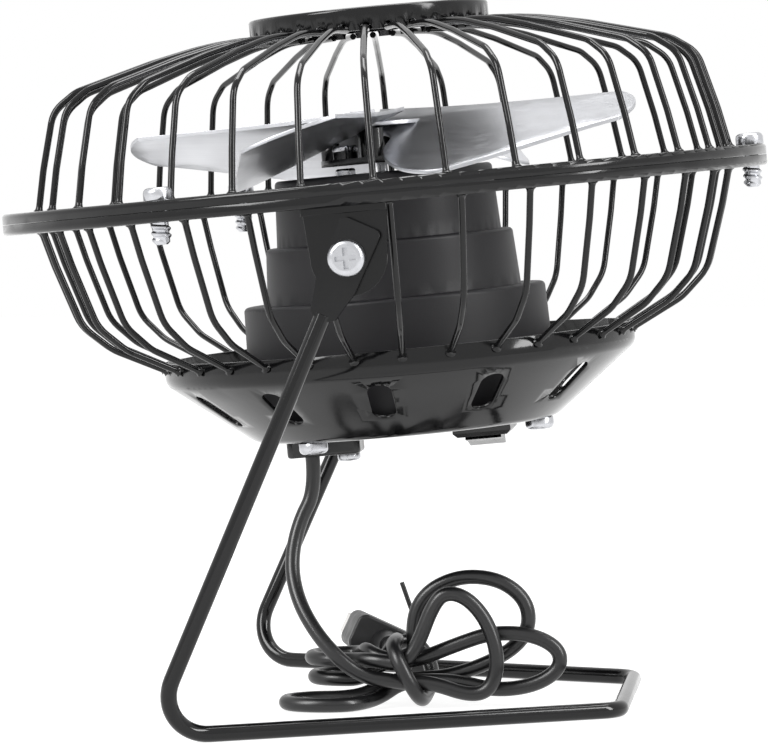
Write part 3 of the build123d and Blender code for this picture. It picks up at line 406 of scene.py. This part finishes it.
def standingLoop(y, middle, reach, width, lean, angles):
    cosine, sine = math.cos(math.radians(lean)), math.sin(math.radians(lean))
    corners = []
    for angle in angles:
        along, across = reach * math.cos(angle), width * math.sin(angle)
        corners.append((
            middle[0] + along * cosine - across * sine, y,
            middle[1] + along * sine + across * cosine))
    return corners


def lyingLoop(middle, reach, width, height, angles):
    return [
        (middle[0] - reach * math.cos(a), middle[1] + width * math.sin(a), height) for a in angles]


near, middle, far = cordPlan["near"], cordPlan["middle"], cordPlan["far"]
ground, low, high, top = (cordPlan[name] for name in ("floor", "low", "high", "top"))
cordRoute = [
    (-14.573, -1.0, 47.153),
    (-14.074, -1.0, 40.673),
    (-17.3, -2.6, 34.5),
    (-18.6, -5.0, 27.0),
    (-17.0, -8.0, 20.3),
    (-13.2, -10.8, 14.2),
    (-8.4, -12.6, 9.2),
    (-4.2, -12.3, 6.2),
    (0.48, -11.76, 5.48),
    (3.6, near, low),
    (8.4, near, low),
    *standingLoop(near, (14.6, 12.2), 6.0, 10.3, 20, steps(-110, 10, 4)),
    *standingLoop(near, (14.6, 12.2), 6.0, 10.3, 20, steps(45, 110, 3)),
    (5.6, near, 11.0),
    (2.6, near, high),
    (-3.0, near + 0.8, high + 0.9),
    *lyingLoop((-8.4, -1.6), 7.2, 6.0, high + 0.5, steps(-100, 92, 6)),
    (-5.4, 2.2, high + 0.9),
    (-4.7, -5.0, high + 2.4),
    (-1.6, middle + 0.3, high + 0.9),
    (4.5, middle, high),
    *standingLoop(middle, (22.0, 8.6), 11.2, 5.6, 2, steps(140, -140, 8)),
    (8.5, middle, low),
    (2.6, middle, low - 0.2),
    (-1.8, -9.4, ground + 0.2),
    *lyingLoop((-10.9, -12.4), 8.5, 5.8, ground, steps(-130, 105, 7)),
    (-4.5, -6.0, ground + 0.6),
    (0.0, far, low - 0.4),
    (5.0, far, low),
    (12.0, far, low + 0.4),
    *standingLoop(far, (15.7, 16.2), 11.4, 8.5, 3, steps(-60, 175, 7)),
    (4.9, far, high + 0.1),
    (-2.0, far, high - 0.5),
    *lyingLoop((-8.2, 0.9), 7.2, 5.3, low - 0.1, steps(-112, 120, 7)),
    (-2.0, 3.4, 8.0),
    (0.3, 1.4, 11.2),
    (1.2, cordPlan["wrapFar"], top),
    (1.2, cordPlan["wrapNear"], top),
    (6.6, cordPlan["wrapNear"], ground),
    (6.6, cordPlan["wrapFar"], ground),
    (7.6, 2.8, 4.6),
    (5.8, 4.6, 9.4),
    (2.6, 4.8, 11.6),
    (-0.9, 5.82, 9.78),
    (-1.7, 9.7, 9.6),
]


def splinePath(points):
    curve = bpy.data.curves.new("route", "CURVE")
    curve.dimensions = "3D"
    curve.resolution_u = cordPlan["smoothness"]
    spline = curve.splines.new("NURBS")
    spline.points.add(len(points) - 1)
    for control, point in zip(spline.points, points):
        control.co = (*(value * mm for value in point), 1)
    spline.order_u = 3
    spline.use_endpoint_u = True
    holder = bpy.data.objects.new("route", curve)
    line = bpy.data.meshes.new_from_object(holder)
    path = [vertex.co.copy() for vertex in line.vertices]
    bpy.data.objects.remove(holder)
    bpy.data.meshes.remove(line)
    return path


cordPath = splinePath(cordRoute)
cordLength = sum((b - a).length for a, b in zip(cordPath, cordPath[1:]))
cordMesh = bmesh.new()
cordRadii = [cordPlan["diameter"] / 2] * len(cordPath)
skin(cordMesh, roundRings(cordPath, cordRadii, cordPlan["sides"]))
cord = smoothPiece("cord", cordMesh, cordPvc)
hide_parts("cord_lead", "cord_hank")
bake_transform(cord)
print("cord laid, path", round(cordLength * 1000, 1), "mm")

# head of the fan: its own frame, millimetres, z along the fan's axis
headPlan = {"height": 97.6, "lean": 4.4}
lean = math.radians(headPlan["lean"])
headX = Vector((math.cos(lean), 0, math.sin(lean)))
headY = Vector((0, 1, 0))
headZ = Vector((-math.sin(lean), 0, math.cos(lean)))


def headPoint(x, y, z):
    return (headX * x + headY * y + headZ * z + Vector((0, 0, headPlan["height"]))) * mm


# a point of a guard wire's plane: distance from the axis, height, and the wire's angle
def wirePoint(radius, height, angle):
    return headPoint(radius * math.cos(angle), radius * math.sin(angle), height)


# paint runs up each wire from its weld in a small hollow cone
welds = {
    "wires": 32,
    "wireRadius": 0.6,
    "frontStart": -85.35, "rearStart": -83.25,  # degrees
    "frontFoot": (65.78, 2.0), "frontUp": (-2.0, 9.6),  # mm: foot on the flange and way up the wire
    "rearFoot": (65.46, -2.0), "rearUp": (-2.3, -8.5),
    "panFoot": (44.85, -30.12), "panUp": (11.9, 6.0),
    "rise": (-0.1, 0.0, 0.1, 0.25, 0.45, 0.75, 1.1),  # along the wire
    "flare": (0.42, 0.38, 0.26, 0.15, 0.07, 0.02, -0.02),  # beyond the wire
    "sides": 16,
    "sharpAngle": 60,  # degrees
}


def weldCones(name, start, foot, way):
    mesh = bmesh.new()
    way = Vector(way).normalized()
    for wire in range(welds["wires"]):
        angle = math.radians(start) + 2 * math.pi * wire / welds["wires"]
        path = [
            wirePoint(foot[0] + way.x * rise, foot[1] + way.y * rise, angle)
            for rise in welds["rise"]]
        radii = [(welds["wireRadius"] + flare) * mm for flare in welds["flare"]]
        skin(mesh, roundRings(path, radii, welds["sides"]))
    return smoothPiece(name, mesh, stovedEnamel, "head", welds["sharpAngle"])


for name, start, foot, way in (
    ("front_welds", welds["frontStart"], welds["frontFoot"], welds["frontUp"]),
    ("rear_welds", welds["rearStart"], welds["rearFoot"], welds["rearUp"]),
    ("pan_welds", welds["rearStart"], welds["panFoot"], welds["panUp"]),
):
    weldCones(name, start, foot, way)
print("welds painted over")

# coarse thread on the flange screws where they stand out below
threads = {
    "angles": (-119.0, 1.0, 121.0),  # degrees
    "circle": 69.5,
    "core": 1.4, "crest": 1.78,
    "top": -1.9, "bottom": -5.5,
    "pitch": 1.25,
    "stepsPerTurn": 28,
    "fadeSteps": 10,  # at each end
    "footHalf": 0.42, "crestHalf": 0.1,  # half widths of the ridge, in pitches
}


def threadRidge(mesh, centre, plan):
    turns = (plan["top"] - plan["bottom"]) / plan["pitch"]
    count = int(turns * plan["stepsPerTurn"])
    core, foot, flat = plan["core"], plan["footHalf"], plan["crestHalf"]
    rings = []
    for step in range(count + 1):
        angle = 2 * math.pi * step / plan["stepsPerTurn"]
        height = plan["top"] - plan["pitch"] * step / plan["stepsPerTurn"]
        fade = min(1, step / plan["fadeSteps"], (count - step) / plan["fadeSteps"])
        crest = core + (plan["crest"] - core) * fade
        ring = []
        for radius, lift in ((core, foot), (crest, flat), (crest, -flat), (core, -foot)):
            ring.append(headPoint(
                centre[0] + radius * math.cos(angle), centre[1] + radius * math.sin(angle),
                height + lift * plan["pitch"]))
        rings.append(ring)
    skin(mesh, rings)


mesh = bmesh.new()
for angle in map(math.radians, threads["angles"]):
    centre = (threads["circle"] * math.cos(angle), threads["circle"] * math.sin(angle))
    threadRidge(mesh, centre, threads)
bmesh.ops.recalc_face_normals(mesh, faces=mesh.faces)
smoothPiece("flange_threads", mesh, brightZinc, "head", 25)
print("threads cut")

# the pressed and moulded edges aren't knife sharp: corner rounding of the frame's nodes, mm
edgeRounding = {
    "front_flange": 0.14, "rear_flange": 0.14, "front_disc": 0.12, "rear_pan": 0.14,
    "pivot_ears": 0.15, "stand_wire": 0.25, "pivot_washers": 0.08, "pivot_nuts": 0.15,
    "pivot_screws": 0.1, "flange_screws": 0.1, "pan_screws": 0.1, "clamp_screw": 0.1,
    "hub_screws": 0.06, "blade": 0.06, "blade_hub": 0.15, "switch_body": 0.2,
    "switch_rocker": 0.15, "cord_clamp": 0.15, "motor_cover": 0.2, "usb_shell": 0.08,
    "usb_tongue": 0.1,
}
edgePlan = {
    "seamReach": 0.002,  # mm, corners of neighbouring faces closer than this are one
    "segments": 2,
    "sharpAngle": 40,  # degrees
}
for name, width in edgeRounding.items():
    weld = nodes[name].modifiers.new("joinSeams", "WELD")
    weld.merge_threshold = edgePlan["seamReach"] * mm
    bevel = nodes[name].modifiers.new("softEdges", "BEVEL")
    bevel.width = width * mm
    bevel.segments = edgePlan["segments"]
    bevel.limit_method = "ANGLE"
    bevel.angle_limit = math.radians(edgePlan["sharpAngle"])
    bevel.harden_normals = True
print("edges eased")
